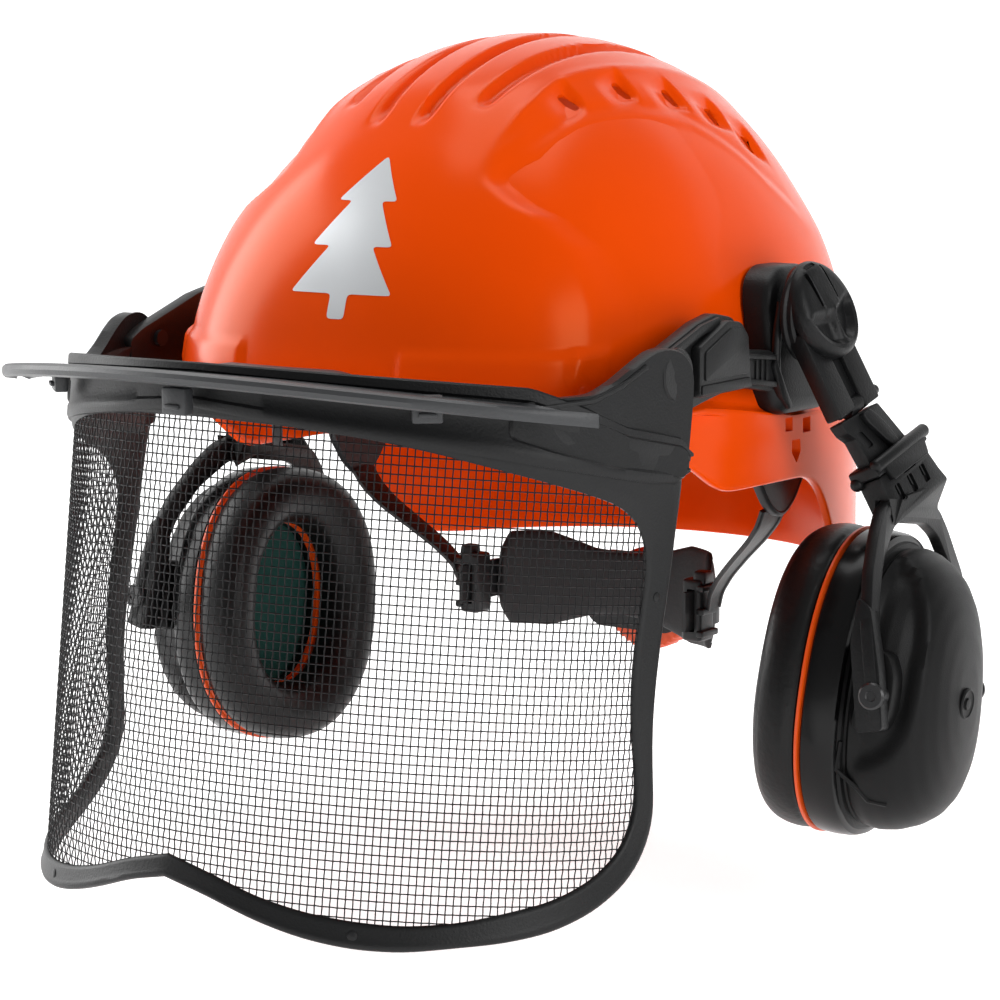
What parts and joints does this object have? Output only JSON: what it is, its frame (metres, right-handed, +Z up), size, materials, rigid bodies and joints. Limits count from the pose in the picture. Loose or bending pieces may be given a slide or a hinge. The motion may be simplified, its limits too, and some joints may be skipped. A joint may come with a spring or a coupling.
{
  "type": "forestry hard hat",
  "caption": "Hard hat with a mesh face visor and sun peak on side pivots, flip-out ear defenders on adjustable arms, and a dial-adjusted head harness.",
  "frame": {"origin": "middle of the head opening, level with the front brim", "axes": "+Z up, -Y towards the wearer's front, +X towards the wearer's left"},
  "size_m": [0.3626, 0.3584, 0.2917],
  "materials": {
    "shell_plastic": "glossy",
    "webbing": "woven",
    "harness_plastic": "satin",
    "hanger_plastic": "satin",
    "sweatband_foam": "soft",
    "nape_fabric": "soft",
    "dial_plastic": "satin",
    "visor_plastic": "satin",
    "mesh_wire": "satin",
    "peak_plastic": "satin",
    "arm_plastic": "satin",
    "pin_plastic": "satin",
    "cup_plastic": "satin",
    "trim_plastic": "satin",
    "cushion_cover": "soft leatherette",
    "liner_foam": "open-cell foam"
  },
  "bodies": {
    "helmet": {"shell": "shell_plastic", "crown_strap_cross": "webbing", "crown_strap_diagonal_a": "webbing", "crown_strap_diagonal_b": "webbing", "headband": "harness_plastic", "sweatband": "sweatband_foam", "harness_clips": "harness_plastic", "headband_links": "harness_plastic", "nape_strap_left": "hanger_plastic", "nape_strap_right": "hanger_plastic", "muff_mount_left": "arm_plastic", "muff_mount_right": "arm_plastic", "swing_pin_left": "pin_plastic", "swing_pin_right": "pin_plastic", "visor_carrier_left": "arm_plastic", "visor_carrier_right": "arm_plastic", "visor_pin_left": "pin_plastic", "visor_pin_right": "pin_plastic"},
    "nape_cradle": {"nape_band": "harness_plastic", "nape_pad": "nape_fabric", "ratchet_housing": "harness_plastic", "nape_loop_left": "harness_plastic", "nape_loop_right": "harness_plastic"},
    "dial": {"ratchet_dial": "dial_plastic", "ratchet_pinion": "harness_plastic"},
    "visor": {"visor_top_bar": "visor_plastic", "visor_edge_frame": "visor_plastic", "visor_mesh": "mesh_wire", "visor_ear_left": "visor_plastic", "visor_ear_right": "visor_plastic", "sun_peak": "peak_plastic", "peak_clips": "visor_plastic"},
    "swing_arm_left": {"upper_arm_left": "arm_plastic", "pivot_cap_left": "arm_plastic", "flip_pin_left": "pin_plastic"},
    "flip_arm_left": {"lower_arm_left": "arm_plastic"},
    "yoke_left": {"fork_left": "arm_plastic", "height_slider_left": "arm_plastic", "slider_collar_left": "arm_plastic"},
    "cup_left": {"cup_shell_left": "cup_plastic", "cup_plate_left": "cup_plastic", "trim_ring_left": "trim_plastic", "ear_cushion_left": "cushion_cover", "foam_liner_left": "liner_foam", "cup_pins_left": "pin_plastic"},
    "swing_arm_right": {"upper_arm_right": "arm_plastic", "pivot_cap_right": "arm_plastic", "flip_pin_right": "pin_plastic"},
    "flip_arm_right": {"lower_arm_right": "arm_plastic"},
    "yoke_right": {"fork_right": "arm_plastic", "height_slider_right": "arm_plastic", "slider_collar_right": "arm_plastic"},
    "cup_right": {"cup_shell_right": "cup_plastic", "cup_plate_right": "cup_plastic", "trim_ring_right": "trim_plastic", "ear_cushion_right": "cushion_cover", "foam_liner_right": "liner_foam", "cup_pins_right": "pin_plastic"}
  },
  "joints": [
    {"name": "visor_tilt", "type": "hinge", "parent": "helmet", "child": "visor", "pos_m": [0, -0.089, 0.004], "axis": [-1, 0, 0], "range_deg": [0, 65]},
    {"name": "nape_slide", "type": "slide", "parent": "helmet", "child": "nape_cradle", "axis": [0, 1, 0], "range_m": [-0.008, 0.008]},
    {"name": "dial_spin", "type": "hinge", "parent": "nape_cradle", "child": "dial", "pos_m": [0, 0.0685, -0.108], "axis": [0, 1, 0], "range_deg": [-100, 100]},
    {"name": "arm_swing_left", "type": "hinge", "parent": "helmet", "child": "swing_arm_left", "pos_m": [0.1205, -0.002, 0.019], "axis": [1, 0, 0], "range_deg": [-15, 60]},
    {"name": "arm_flip_left", "type": "hinge", "parent": "swing_arm_left", "child": "flip_arm_left", "pos_m": [0.13479, 0.00678, -0.01285], "axis": [0, -0.964, -0.2658], "range_deg": [-15, 0]},
    {"name": "yoke_slide_left", "type": "slide", "parent": "flip_arm_left", "child": "yoke_left", "axis": [-0.3969, -0.244, 0.8848], "range_m": [-0.006, 0.006]},
    {"name": "cup_tilt_left", "type": "hinge", "parent": "yoke_left", "child": "cup_left", "pos_m": [0.162, 0.01, -0.115], "axis": [-0.1204, 0.9803, -0.1564], "range_deg": [-8, 8]},
    {"name": "arm_swing_right", "type": "hinge", "parent": "helmet", "child": "swing_arm_right", "pos_m": [-0.1205, -0.002, 0.019], "axis": [1, 0, 0], "range_deg": [-15, 60]},
    {"name": "arm_flip_right", "type": "hinge", "parent": "swing_arm_right", "child": "flip_arm_right", "pos_m": [-0.13479, 0.00678, -0.01285], "axis": [0, 0.964, 0.2658], "range_deg": [-15, 0]},
    {"name": "yoke_slide_right", "type": "slide", "parent": "flip_arm_right", "child": "yoke_right", "axis": [0.3969, -0.244, 0.8848], "range_m": [-0.006, 0.006]},
    {"name": "cup_tilt_right", "type": "hinge", "parent": "yoke_right", "child": "cup_right", "pos_m": [-0.162, 0.01, -0.115], "axis": [-0.1204, -0.9803, 0.1564], "range_deg": [-8, 8]}
  ],
  "couplings": [
    {"joint": "dial_spin", "follows": "nape_slide", "rad_per_m": 200}
  ]
}
